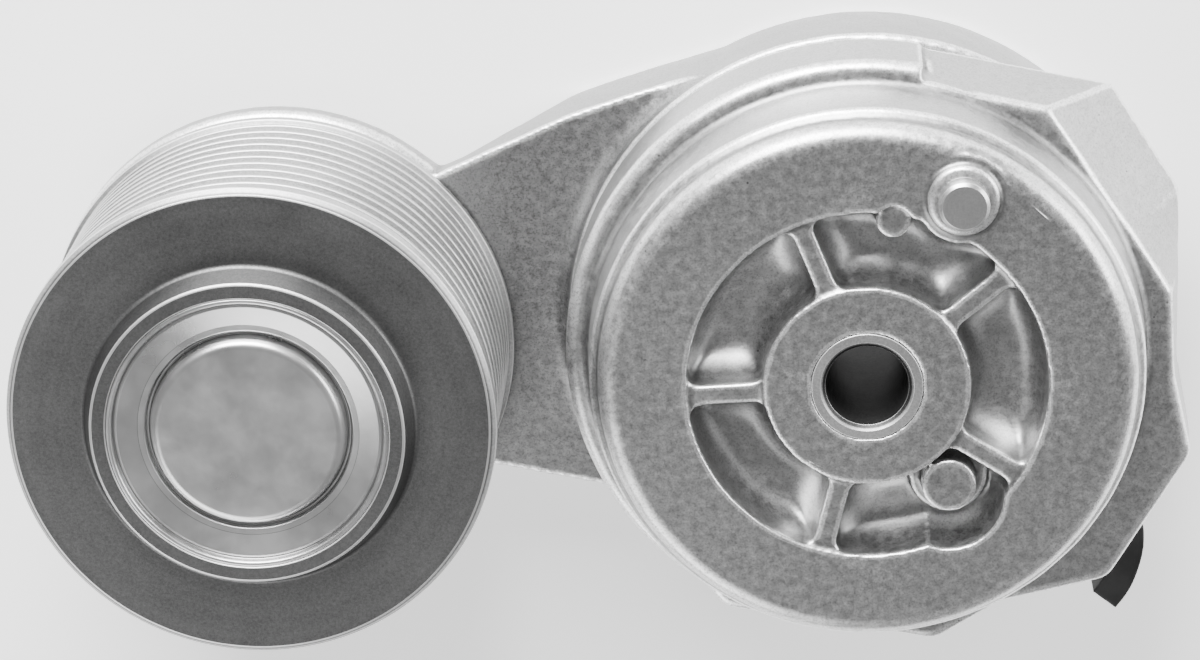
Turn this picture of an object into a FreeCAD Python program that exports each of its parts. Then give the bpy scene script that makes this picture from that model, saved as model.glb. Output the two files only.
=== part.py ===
import FreeCAD, Part
import math
import os
import Sketcher

# Automatic belt tensioner, in millimetres.
# The origin is on the pivot axis, at the face that is bolted to the engine.
# +Z points out of that face. The arm lies along -X when it rests on its stop.

doc = FreeCAD.newDocument("belt_tensioner")
sheet = doc.addObject("Spreadsheet::Sheet", "sizes")
sheet_rows = []


class Size:
    """A number together with the sheet formula that it comes from."""

    def __init__(self, value, text):
        self.value = float(value)
        self.text = text

    def __add__(self, other):
        other = as_size(other)
        return Size(self.value + other.value, "(%s + %s)" % (self.text, other.text))

    def __sub__(self, other):
        other = as_size(other)
        return Size(self.value - other.value, "(%s - %s)" % (self.text, other.text))

    def __mul__(self, other):
        other = as_size(other)
        return Size(self.value * other.value, "(%s * %s)" % (self.text, other.text))

    def __truediv__(self, other):
        other = as_size(other)
        return Size(self.value / other.value, "(%s / %s)" % (self.text, other.text))

    def __neg__(self):
        return Size(-self.value, "(-%s)" % self.text)

    def __rsub__(self, other):
        return as_size(other) - self

    __radd__ = __add__
    __rmul__ = __mul__


def as_size(number):
    """Wraps a plain number, so that it can stand in a formula."""
    return number if isinstance(number, Size) else Size(number, repr(float(number)))


def cosine(angle):
    return Size(math.cos(math.radians(angle.value)), "cos(%s * 1 deg)" % angle.text)


def sine(angle):
    return Size(math.sin(math.radians(angle.value)), "sin(%s * 1 deg)" % angle.text)


def tangent(angle):
    return Size(math.tan(math.radians(angle.value)), "tan(%s * 1 deg)" % angle.text)


def sized(name, value, meaning):
    """Writes one driving size into the sheet and returns it."""
    sheet_rows.append(name)
    row = len(sheet_rows)
    sheet.set("A%d" % row, meaning)
    sheet.set("B%d" % row, repr(value))
    sheet.setAlias("B%d" % row, name)
    return Size(value, "sizes." + name)


# ---------------------------------------------------------------- driving sizes

ZERO = as_size(0.0)

# how far features of one piece are sunk into each other, and how far cuts run past it
overlap = sized("overlap", 1.0, "construction overlap")

# pivot
bore_radius = sized("bore_radius", 6.5, "bore for the mounting bolt")
tube_radius = sized("tube_radius", 8.7, "outside of the pivot tube")
mouth_chamfer = sized("mouth_chamfer", 0.8, "chamfer at each mouth of the bore")
run_gap = sized("run_gap", 0.06, "radial running clearance of a plain bearing")
free_gap = sized("free_gap", 0.4, "clearance between pieces that pass each other")

# base housing, from the mounting face backwards
hub_radius = sized("hub_radius", 16.2, "round face around the bore")
face_radius = sized("face_radius", 42.2, "drum at the mounting face, before rounding")
face_round = sized("face_round", 3.0, "rounding of the mounting face's edge")
step_depth = sized("step_depth", 4.0, "depth of the first step on the drum")
step_rise = sized("step_rise", 1.4, "how far the drum widens at that step")
step_slope = sized("step_slope", 1.0, "depth over which it widens")
wall_draft = sized("wall_draft", 0.6, "further widening down to the flange")
flange_depth = sized("flange_depth", 16.0, "mounting face to flange face")
base_depth = sized("base_depth", 30.5, "mounting face to the back of the base")
rim_reach = sized("rim_reach", 3.8, "round rim at the back, beyond the drum wall")
rim_round = sized("rim_round", 2.0, "rounding of the rim")
rim_start_angle = sized("rim_start_angle", 77.0, "where the round rim starts")
rim_end_angle = sized("rim_end_angle", 243.0, "where the round rim ends")
cove_round = sized("cove_round", 1.5, "hollow rounding where drum meets flange")
flange_round = sized("flange_round", 1.2, "rounding of the flange face's edge")
flange_corner_round = sized("flange_corner_round", 4.0, "rounding of the flange's corners")
front_wall = sized("front_wall", 5.0, "thickness of the front ring")
drum_wall = sized("drum_wall", 4.4, "thickness of the drum wall behind its face")
hub_depth = sized("hub_depth", 12.5, "mounting face to the back of the pocketed floor")
core_inset = sized("core_inset", 10.7, "where the thick floor ends, from the drum's outside")

# pockets in the mounting face
pocket_inset = sized("pocket_inset", 14.0, "outer edge of the pockets, from the drum's outside")
pocket_depth = sized("pocket_depth", 9.0, "depth of the pockets")
pocket_round = sized("pocket_round", 1.9, "corner rounding in the pockets")
floor_round = sized("floor_round", 1.5, "rounding along the pocket floors")
rib_width = sized("rib_width", 3.2, "ribs between the pockets")
rib_drop = sized("rib_drop", 0.7, "ribs below the mounting face")
rib_angle = sized("rib_angle", 37.5, "first rib, from +X")
rib_count = 5

# round features cast into the pockets
pillar_inset = sized("pillar_inset", 7.0, "pillar, from the pockets' outer edge")
pillar_angle = sized("pillar_angle", -55.0, "pillar, from +X")
pillar_radius = sized("pillar_radius", 4.3, "pillar")
pillar_drop = sized("pillar_drop", 1.0, "pillar top below the mounting face")
pillar_foot = sized("pillar_foot", 1.8, "step around the pillar's foot")
pillar_foot_rise = sized("pillar_foot_rise", 3.0, "height of that step")
bulge_inset = sized("bulge_inset", 5.8, "bulge of the pocket, from the pockets' outer edge")
bulge_angle = sized("bulge_angle", -57.5, "bulge of the pocket, from +X")
bulge_radius = sized("bulge_radius", 8.7, "bulge of the pocket around the pillar")
land_inset = sized("land_inset", 1.6, "small round land, from the pockets' outer edge")
land_angle = sized("land_angle", 79.0, "small round land, from +X")
land_radius = sized("land_radius", 2.7, "small round land")
land_drop = sized("land_drop", 2.2, "small round land below the mounting face")
land_moat = sized("land_moat", 0.2, "relief cut around that land")

# locating pin
pin_inset = sized("pin_inset", 8.4, "locating pin, from the drum's outside")
pin_angle = sized("pin_angle", 62.0, "locating pin, from +X")
pin_radius = sized("pin_radius", 3.9, "locating pin")
pin_height = sized("pin_height", 4.6, "pin above the mounting face")
pin_shank_radius = sized("pin_shank_radius", 3.0, "pressed-in end of the pin")
pin_shank_length = sized("pin_shank_length", 4.0, "pressed-in length of the pin")
pin_chamfer = sized("pin_chamfer", 0.5, "chamfer at the pin's tip")
boss_radius = sized("boss_radius", 5.6, "foot of the raised boss under the pin")
boss_height = sized("boss_height", 1.4, "height of that boss")
boss_round = sized("boss_round", 0.8, "rounding of that boss")
boss_column = sized("boss_column", 7.2, "metal under the pin, inside the pocket")

# flange corners: how far each stands out from the drum wall and its angle,
# then how both change towards the flange's back
sharp_corners = ("start", "peak", "waist", "tuck")
flange_corners = []
for corner, reach, angle, spread, turn in (
        ("start", 1.1, 74.0, 2.1, 3.0),
        ("peak", 4.8, 53.0, 7.3, -9.5),
        ("brow", 1.9, 23.7, 9.2, -1.6),
        ("waist", 5.1, 9.5, 2.2, -0.5),
        ("hip", 5.0, -7.0, 1.6, -1.0),
        ("nose", 10.6, -20.5, 1.4, -1.0),
        ("elbow", 10.8, -47.0, 1.4, 0.0),
        ("notch", 4.0, -65.0, 1.2, 0.0),
        ("toe", 6.6, -79.5, 1.2, 0.0),
        ("heel", 5.3, -120.0, 1.2, 0.0),
        ("tuck", 0.4, -150.0, 0.4, 0.0)):
    flange_corners.append((
        corner,
        sized("flange_%s_reach" % corner, reach, "%s corner beyond the drum wall" % corner),
        sized("flange_%s_angle" % corner, angle, "%s corner, from +X" % corner),
        sized("flange_%s_spread" % corner, spread, "how much further out at the back"),
        sized("flange_%s_turn" % corner, turn, "how much it turns towards the back")))

# stop bumper, behind the flange's elbow
bumper_depth = sized("bumper_depth", 9.5, "bumper along Z")
bumper_seat_angle = sized("bumper_seat_angle", -39.8, "end that the lug meets, from +X")
bumper_seat_gap = sized("bumper_seat_gap", 1.2, "bumper clear of the arm's round end")
bumper_seat_width = sized("bumper_seat_width", 8.5, "width of that end")
bumper_tip_reach = sized("bumper_tip_reach", 12.1, "inner corner of the tip beyond the round end")
bumper_tip_angle = sized("bumper_tip_angle", -53.5, "inner corner of the tip, from +X")
bumper_tip_width = sized("bumper_tip_width", 4.7, "width of the tip")
bumper_tip_lean = sized("bumper_tip_lean", 1.0, "lean of the tip, in degrees")
bumper_outer_curve = sized("bumper_outer_curve", 20.0, "bumper's outer face")
bumper_inner_curve = sized("bumper_inner_curve", 15.0, "bumper's inner face")
stop_gap = sized("stop_gap", 0.3, "lug to bumper, when the arm rests")

# seal and friction parts between base and arm
seal_reach = sized("seal_reach", 3.2, "dust seal outside the spring chamber")
seal_width = sized("seal_width", 5.0, "dust seal, across")
seal_height = sized("seal_height", 0.8, "dust seal, along Z")
damper_thick = sized("damper_thick", 2.4, "damping ring, radially")
damper_height = sized("damper_height", 9.0, "damping ring, along Z")
washer_inset = sized("washer_inset", 3.0, "thrust washer inside the end plate's edge")
washer_height = sized("washer_height", 1.5, "thrust washer, along Z")
plate_radius = sized("plate_radius", 22.0, "end plate, outside")
plate_height = sized("plate_height", 2.4, "end plate, along Z")
flare_width = sized("flare_width", 2.7, "how far the tube's end is flared")
flare_height = sized("flare_height", 1.6, "flared end, along Z")

# arm
arm_length = sized("arm_length", 96.0, "pivot axis to pulley axis")
disc_reach = sized("disc_reach", 4.1, "arm's round end beyond the drum wall")
disc_taper = sized("disc_taper", 0.6, "how much it narrows to its back")
arm_round = sized("arm_round", 0.8, "rounding of the arm's front edge")
neck_drop = sized("neck_drop", 4.2, "neck's face behind the round end's face")
neck_blend = sized("neck_blend", 3.0, "hollow rounding between them")
neck_height = sized("neck_height", 13.8, "neck along Z, at the round end")
pad_radius = sized("pad_radius", 38.6, "round pad behind the pulley")
pad_height = sized("pad_height", 5.0, "pad along Z")
pad_round = sized("pad_round", 1.5, "rounding of the pad's front edge")
neck_top_angle = sized("neck_top_angle", 116.0, "neck's upper edge at the round end, from +X")
neck_low_angle = sized("neck_low_angle", 219.0, "neck's lower edge at the round end, from +X")
neck_bend_x = sized("neck_bend_x", 47.0, "bend of the upper edge, from the pivot axis")
neck_bend_y = sized("neck_bend_y", 35.7, "height of that bend")
neck_curve = sized("neck_curve", 400.0, "curve of the upper edge beside the round end")
neck_top_side = sized("neck_top_side", 45.0, "upper edge where it joins the pad, from the arm's line")
neck_low_side = sized("neck_low_side", 37.7, "lower edge where it joins the pad")
slope_start = sized("slope_start", 45.0, "where the neck's back starts to slope")
slope_end = sized("slope_end", 64.0, "where it meets the pad's back")
arm_web = sized("arm_web", 3.5, "web between the spring chamber and the back recess")
spring_room = sized("spring_room", 27.5, "length of the spring chamber")
sleeve_wall = sized("sleeve_wall", 4.44, "wall of the arm's pivot sleeve")
bushing_wall = sized("bushing_wall", 2.3, "wall of the pivot bushings")
bushing_length = sized("bushing_length", 12.0, "each pivot bushing")
skirt_wall = sized("skirt_wall", 3.0, "arm's skirt inside the damping ring")
skirt_rise = sized("skirt_rise", 8.0, "skirt in front of the arm's face")
recess_gap = sized("recess_gap", 3.0, "recess in the arm's back around the end plate")
sleeve_setback = sized("sleeve_setback", 1.6, "arm's sleeve behind the housing's floor")
lug_root = sized("lug_root", 6.0, "stop lug inside the arm's round end")
lug_reach = sized("lug_reach", 8.0, "stop lug beyond the arm's round end")
lug_width = sized("lug_width", 8.0, "stop lug, across")
lug_height = sized("lug_height", 9.0, "stop lug, along Z")
lug_drop = sized("lug_drop", 1.0, "stop lug behind the round end's face")
rear_boss_radius = sized("rear_boss_radius", 13.0, "thickening for the bolt's thread")
rear_boss_height = sized("rear_boss_height", 8.0, "that thickening behind the pad")

# spring
wire_radius = sized("wire_radius", 2.4, "spring wire")
spring_turns = sized("spring_turns", 4.0, "turns")
spring_sleeve_wall = sized("spring_sleeve_wall", 1.6, "plastic sleeve inside the spring")
spring_sleeve_short = sized("spring_sleeve_short", 2.0, "that sleeve short of the arm's sleeve")
seat_height = sized("seat_height", 1.2, "spring seat ring, along Z")
seat_width = sized("seat_width", 7.6, "spring seat ring, across")

# pulley
groove_pitch = sized("groove_pitch", 3.56, "ribbed belt pitch")
groove_count = 10
rib_radius = sized("rib_radius", 37.67, "crests between the grooves")
groove_depth = sized("groove_depth", 2.75, "depth of the grooves")
groove_crest = sized("groove_crest", 0.9, "flat left on each crest")
groove_flank = sized("groove_flank", 20.0, "half angle of a groove")
pulley_front = sized("pulley_front", 6.5, "pulley's front face above the mounting face")
flange_width = sized("flange_width", 3.6, "front flange of the pulley")
back_flange_width = sized("back_flange_width", 2.1, "back flange of the pulley")
flange_crest = sized("flange_crest", 0.75, "flanges above the crests")
flange_slope = sized("flange_slope", 0.4, "slope at the foot of the flanges")
flange_bevel = sized("flange_bevel", 1.0, "bevel at the front flange")
rim_wall = sized("rim_wall", 3.9, "metal under the grooves")
web_width = sized("web_width", 5.0, "front web of the pulley")
nose_wall = sized("nose_wall", 3.95, "front hub of the pulley around the cap, at the web")
nose_slope = sized("nose_slope", 1.5, "how much that hub narrows to its end")
nose_height = sized("nose_height", 4.1, "front hub above the web")
hub_wall_back = sized("hub_wall_back", 2.5, "lip behind the bearing")
lip_width = sized("lip_width", 2.5, "how far that lip covers the bearing")

# bearing: two rows of balls
bearing_radius = sized("bearing_radius", 20.0, "outer race, outside")
bearing_bore = sized("bearing_bore", 8.5, "inner race, bore")
bearing_width = sized("bearing_width", 17.5, "bearing along Z")
bearing_centre = sized("bearing_centre", 15.0, "bearing's middle behind the mounting face")
ball_radius = sized("ball_radius", 2.9, "balls")
track_gap = sized("track_gap", 0.1, "ball to track and to cage")
row_offset = sized("row_offset", 3.9, "each row from the bearing's middle")
race_gap = sized("race_gap", 1.85, "each race from the circle of ball centres")
cage_wall = sized("cage_wall", 1.15, "half the thickness of a cage")
cage_half = sized("cage_half", 3.4, "half of a cage along Z")
seal_thick = sized("seal_thick", 0.8, "bearing seals")
seal_inset = sized("seal_inset", 0.35, "bearing seals below the races' faces")
ball_count = 10

# what holds the bearing and closes the pulley
snap_thick = sized("snap_thick", 1.6, "snap ring, along Z")
snap_width = sized("snap_width", 2.6, "snap ring inside the bearing's outside")
snap_groove = sized("snap_groove", 0.9, "depth of the snap ring's groove")
snap_opening = sized("snap_opening", 8.0, "gap in the snap ring")
cap_step_out = sized("cap_step_out", 2.05, "dust cap beyond the bearing's outside")
cap_inset = sized("cap_inset", 0.1, "dust cap behind the end of the pulley's hub")
cap_seat = sized("cap_seat", 2.5, "front of the snap ring to the cap's bore")
cap_skirt = sized("cap_skirt", 8.0, "length of the dust cap's skirt")
cap_sheet = sized("cap_sheet", 0.9, "thickness of the dust cap")
cap_rim = sized("cap_rim", 0.85, "width of the cap's rolled rim")
cap_step = sized("cap_step", 0.9, "step inside the rolled rim")
cap_groove_inset = sized("cap_groove_inset", 5.85, "groove in the cap, from its outside")
cap_groove_drop = sized("cap_groove_drop", 2.0, "that groove below the rim")
cap_crown_inset = sized("cap_crown_inset", 1.6, "raised centre of the cap, from that groove")
cap_crown_drop = sized("cap_crown_drop", 0.5, "raised centre below the rim")
cap_edge = sized("cap_edge", 0.35, "softened edges of the dust cap")
cap_slope = sized("cap_slope", 0.7, "slope beside the raised centre")
bolt_radius = sized("bolt_radius", 5.0, "pulley bolt")
bolt_flats = sized("bolt_flats", 16.0, "pulley bolt, across the flats")
bolt_turn = sized("bolt_turn", 15.0, "turn of the hexagon")
bolt_head = sized("bolt_head", 6.4, "height of the bolt's head")
bolt_bevel = sized("bolt_bevel", 1.2, "bevel of the bolt's head")
bolt_short = sized("bolt_short", 2.0, "bolt's end short of the arm's back")
bolt_washer_radius = sized("bolt_washer_radius", 12.0, "washer under the bolt's head")
bolt_washer_height = sized("bolt_washer_height", 2.0, "that washer, along Z")
sleeve_gap = sized("sleeve_gap", 0.2, "bolt inside its sleeve")
shield_radius = sized("shield_radius", 24.0, "dust shield behind the bearing")
shield_height = sized("shield_height", 1.0, "dust shield, along Z")
shield_gap = sized("shield_gap", 0.8, "dust shield behind the pulley's hub")
arm_boss_wall = sized("arm_boss_wall", 2.1, "arm's boss outside the inner race's bore")

doc.recompute()

# ---------------------------------------------------------------- worked-out levels

base_back = -base_depth
arm_front = base_back - seal_height - free_gap
neck_front = arm_front - neck_drop
arm_back = neck_front - neck_height
floor_back = -hub_depth
chamber_back = floor_back - spring_room
recess_floor = chamber_back - arm_web
washer_front = recess_floor - free_gap
plate_front = washer_front - washer_height
flare_front = plate_front - plate_height
tube_back = flare_front - flare_height
bushing_front_end = floor_back - sleeve_setback
wall_radius = face_radius + step_rise + wall_draft
chamber_radius = face_radius - drum_wall
skirt_radius = chamber_radius - damper_thick - run_gap
bushing_radius = tube_radius + run_gap + bushing_wall
sleeve_radius = bushing_radius + sleeve_wall
flare_radius = tube_radius + flare_width
washer_radius = plate_radius - washer_inset
recess_radius = plate_radius + recess_gap
spring_radius = (skirt_radius - skirt_wall + sleeve_radius + spring_sleeve_wall) / 2
rim_radius = wall_radius + rim_reach
disc_front_radius = wall_radius + disc_reach
seal_inner = chamber_radius + seal_reach
core_radius = face_radius - core_inset
pocket_radius = face_radius - pocket_inset
pin_pitch = face_radius - pin_inset
pillar_pitch = pocket_radius - pillar_inset
bulge_pitch = pocket_radius - bulge_inset
land_pitch = pocket_radius - land_inset
bearing_front = -bearing_centre + bearing_width / 2
bearing_back = -bearing_centre - bearing_width / 2
lip_back = bearing_back - hub_wall_back
lip_radius = bearing_radius - lip_width
ball_pitch = (bearing_bore + bearing_radius) / 2
inner_land = ball_pitch - race_gap
outer_land = ball_pitch + race_gap
cage_inner = ball_pitch - cage_wall
cage_outer = ball_pitch + cage_wall
arm_boss_radius = bearing_bore + arm_boss_wall
cap_radius = bearing_radius + cap_step_out
cap_groove = cap_radius - cap_groove_inset
cap_crown = cap_groove - cap_crown_inset
snap_inner = bearing_radius - snap_width
nose_foot = cap_radius + nose_wall
nose_tip = nose_foot - nose_slope
first_groove = pulley_front - flange_width - groove_pitch / 2 + groove_crest / 2
last_crest = first_groove - groove_pitch * (groove_count - 0.5)
pulley_back = last_crest - back_flange_width
cap_front = pulley_front + nose_height - cap_inset
snap_front = bearing_front + snap_thick
pulley_x = -arm_length


# ---------------------------------------------------------------- drawing helpers

def origin_plane(body, role):
    return next(item for item in body.Origin.OriginFeatures if item.Role == role)


def new_body(label, across=None):
    """A body on the pivot axis, or moved along X by a size."""
    body = doc.addObject("PartDesign::Body", label)
    body.Label = label
    if across is not None:
        body.setExpression("Placement.Base.x", across.text)
    return body


def new_sketch(body, name, role="XY_Plane", level=None):
    sketch = body.newObject("Sketcher::SketchObject", name)
    sketch.AttachmentSupport = [(origin_plane(body, role), "")]
    sketch.MapMode = "FlatFace"
    if level is not None:
        sketch.setExpression("AttachmentOffset.Base.z", level.text)
    return sketch


def tie_point(sketch, geometry, point, across, up):
    """Holds one point of a sketch at sizes measured from the sketch's origin."""
    for kind, axis, size in (("DistanceX", -2, across), ("DistanceY", -1, up)):
        if size is ZERO:
            sketch.addConstraint(Sketcher.Constraint("PointOnObject", geometry, point, axis))
            continue
        index = sketch.addConstraint(Sketcher.Constraint(kind, -1, 1, geometry, point, size.value))
        sketch.setExpression("Constraints[%d]" % index, size.text)


def draw_outline(sketch, corners):
    """A closed outline through the corners, with every corner tied to the sheet.

    A corner is (across, up), and the edge that leaves it is straight. With a third
    entry, (radius, side), that edge is an arc that bulges to its left or right.
    """
    count = len(corners)
    ends = []
    for k, corner in enumerate(corners):
        following = corners[(k + 1) % count]
        start = FreeCAD.Vector(corner[0].value, corner[1].value, 0)
        stop = FreeCAD.Vector(following[0].value, following[1].value, 0)
        if len(corner) == 2:
            index = sketch.addGeometry(Part.LineSegment(start, stop), False)
            ends.append((index, 1, 2))
        else:
            ends.append(draw_arc(sketch, start, stop, corner[2][0], corner[2][1]))
    for k in range(count):
        index, _, last = ends[k]
        following, first, _ = ends[(k + 1) % count]
        sketch.addConstraint(Sketcher.Constraint("Coincident", index, last, following, first))
    for k, corner in enumerate(corners):
        tie_point(sketch, ends[k][0], ends[k][1], corner[0], corner[1])


def draw_arc(sketch, start, stop, radius, side):
    """An arc of this radius between two points; returns its index and its two ends."""
    chord = stop - start
    left = FreeCAD.Vector(-chord.y, chord.x, 0).normalize()
    height = math.sqrt(radius.value ** 2 - (chord.Length / 2) ** 2)
    centre = (start + stop) * 0.5 - left * (height * side)
    angles = [math.atan2(point.y - centre.y, point.x - centre.x) for point in (start, stop)]
    ends = (1, 2)
    if side > 0:
        angles.reverse()
        ends = (2, 1)
    if angles[1] < angles[0]:
        angles[1] += 2 * math.pi
    circle = Part.Circle(centre, FreeCAD.Vector(0, 0, 1), radius.value)
    index = sketch.addGeometry(Part.ArcOfCircle(circle, angles[0], angles[1]), False)
    bound = sketch.addConstraint(Sketcher.Constraint("Radius", index, radius.value))
    sketch.setExpression("Constraints[%d]" % bound, radius.text)
    return (index,) + ends


def draw_circle(sketch, across, up, radius):
    centre = FreeCAD.Vector(across.value, up.value, 0)
    index = sketch.addGeometry(Part.Circle(centre, FreeCAD.Vector(0, 0, 1), radius.value), False)
    tie_point(sketch, index, 3, across, up)
    bound = sketch.addConstraint(Sketcher.Constraint("Radius", index, radius.value))
    sketch.setExpression("Constraints[%d]" % bound, radius.text)


def turn_profile(body, name, corners, cut=False):
    """Turns a closed profile of (radius, z) corners once round the body's Z axis."""
    sketch = new_sketch(body, name + "_profile", "XZ_Plane")
    draw_outline(sketch, corners)
    return turn_sketch(body, name, sketch, cut)


def turn_sketch(body, name, sketch, cut=False):
    kind = "PartDesign::Groove" if cut else "PartDesign::Revolution"
    feature = body.newObject(kind, name)
    feature.Profile = sketch
    feature.ReferenceAxis = (sketch, ["V_Axis"])
    feature.Angle = 360
    finish(body, feature, cut)
    return feature


def pad(body, name, sketch, height):
    """Raises a sketch along +Z."""
    feature = body.newObject("PartDesign::Pad", name)
    feature.Profile = sketch
    feature.setExpression("Length", height.text)
    finish(body, feature, False)
    return feature


def pocket(body, name, sketch, depth):
    """Cuts a sketch away along -Z."""
    feature = body.newObject("PartDesign::Pocket", name)
    feature.Profile = sketch
    feature.setExpression("Length", depth.text)
    finish(body, feature, True)
    return feature


def finish(body, feature, cut):
    """Recomputes a feature and makes sure that it really added or removed metal."""
    base = feature.BaseFeature
    before = base.Shape.Volume if base is not None else 0.0
    doc.recompute()
    change = body.Shape.Volume - before
    if (cut and change > -1e-6) or (not cut and change < 1e-6):
        raise RuntimeError("%s changed nothing in %s" % (feature.Name, body.Label))


def repeat_round(body, name, features, count):
    """Repeats features in a full circle about the body's Z axis."""
    pattern = body.newObject("PartDesign::PolarPattern", name)
    pattern.Originals = features
    pattern.Axis = (origin_plane(body, "Z_Axis"), [""])
    pattern.Angle = 360
    pattern.Occurrences = count
    body.Tip = pattern
    doc.recompute()
    return pattern


def edge_names(body, test):
    """Names of the edges of a body's shape that pass a test of their middle and ends."""
    names = []
    for number, edge in enumerate(body.Shape.Edges, 1):
        middle = edge.valueAt((edge.FirstParameter + edge.LastParameter) / 2)
        if test(edge, middle):
            names.append("Edge%d" % number)
    return names


def round_edges(body, name, test, radius):
    names = edge_names(body, test)
    if not names:
        raise RuntimeError("%s found no edge in %s" % (name, body.Label))
    feature = body.newObject("PartDesign::Fillet", name)
    feature.Base = (feature.BaseFeature or body.Tip, names)
    feature.setExpression("Radius", radius.text)
    doc.recompute()
    return feature


def is_ring(edge, middle, radius, level, slack=0.02):
    """True for an edge on a circle of this radius about Z at this level."""
    flat = all(abs(vertex.Z - level.value) < slack for vertex in edge.Vertexes)
    distance = math.hypot(middle.x, middle.y)
    return flat and abs(middle.z - level.value) < slack and abs(distance - radius.value) < slack


def is_upright(edge, low, high, slack=0.02):
    """True for an edge that runs between two levels."""
    levels = sorted(vertex.Z for vertex in edge.Vertexes)
    return (len(levels) == 2 and abs(levels[0] - low.value) < slack
            and abs(levels[1] - high.value) < slack)


def ring(label, inner, outer, back, front, across=None):
    """A plain ring."""
    body = new_body(label, across)
    turn_profile(body, label + "_ring",
                 [(inner, back), (outer, back), (outer, front), (inner, front)])
    return body


# ---------------------------------------------------------------- base housing

def polar(radius, angle):
    return radius * cosine(angle), radius * sine(angle)


def along_ray(angle, along, side):
    """A point so far along a ray from the pivot axis, and so far to its left."""
    return (along * cosine(angle) - side * sine(angle),
            along * sine(angle) + side * cosine(angle))


def make_base_housing():
    body = new_body("base_housing")
    make_flange(body)
    make_rim(body)
    turn_profile(body, "drum", [
        (ZERO, base_back),
        (wall_radius + cove_round, base_back),
        (wall_radius + cove_round, -flange_depth, (cove_round, 1)),
        (wall_radius, -flange_depth + cove_round),
        (face_radius + step_rise, -step_depth - step_slope),
        (face_radius, -step_depth),
        (face_radius, -face_round, (face_round, -1)),
        (face_radius - face_round, ZERO),
        (ZERO, ZERO)])
    make_pockets(body)
    make_chamber(body)
    return body


def make_flange(body):
    """The uneven flange, drafted from its face to its back, with rounded corners."""
    front = new_sketch(body, "flange_front", level=-flange_depth)
    draw_outline(front, [polar(wall_radius + reach, angle)
                         for _, reach, angle, _, _ in flange_corners])
    back = new_sketch(body, "flange_back", level=base_back)
    draw_outline(back, [polar(wall_radius + reach + spread, angle + turn)
                        for _, reach, angle, spread, turn in flange_corners])
    flange = body.newObject("PartDesign::AdditiveLoft", "flange")
    flange.Profile = front
    flange.Sections = [(back, "")]
    flange.Ruled = True
    finish(body, flange, False)
    soft_angles = [angle.value for corner, _, angle, _, _ in flange_corners
                   if corner not in sharp_corners]
    round_edges(body, "flange_corner_rounding",
                lambda edge, middle: is_upright(edge, base_back, -flange_depth)
                and front_angle_in(edge, soft_angles), flange_corner_round)
    round_edges(body, "flange_rounding",
                lambda edge, middle: abs(middle.z + flange_depth.value) < 0.02
                and all(abs(v.Z + flange_depth.value) < 0.02 for v in edge.Vertexes),
                flange_round)


def front_angle_in(edge, angles):
    """True for an edge whose front end lies at one of these angles about the pivot axis."""
    end = max(edge.Vertexes, key=lambda vertex: vertex.Z)
    own = math.degrees(math.atan2(end.Y, end.X))
    return any(abs(own - angle) < 0.1 for angle in angles)


def make_rim(body):
    """The round rim at the back of the drum, where there is no flange."""
    profile = new_sketch(body, "rim_profile", "XZ_Plane")
    profile.AttachmentOffset = FreeCAD.Placement(
        FreeCAD.Vector(0, 0, 0), FreeCAD.Rotation(FreeCAD.Vector(0, 1, 0), 30))
    profile.setExpression("AttachmentOffset.Rotation.Angle", rim_start_angle.text)
    draw_outline(profile, [
        (wall_radius - overlap, base_back),
        (rim_radius, base_back),
        (rim_radius, -flange_depth - rim_round, (rim_round, -1)),
        (rim_radius - rim_round, -flange_depth),
        (wall_radius - overlap, -flange_depth)])
    rim = body.newObject("PartDesign::Revolution", "rim")
    rim.Profile = profile
    rim.ReferenceAxis = (profile, ["V_Axis"])
    rim.setExpression("Angle", (rim_end_angle - rim_start_angle).text)
    finish(body, rim, False)


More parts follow.
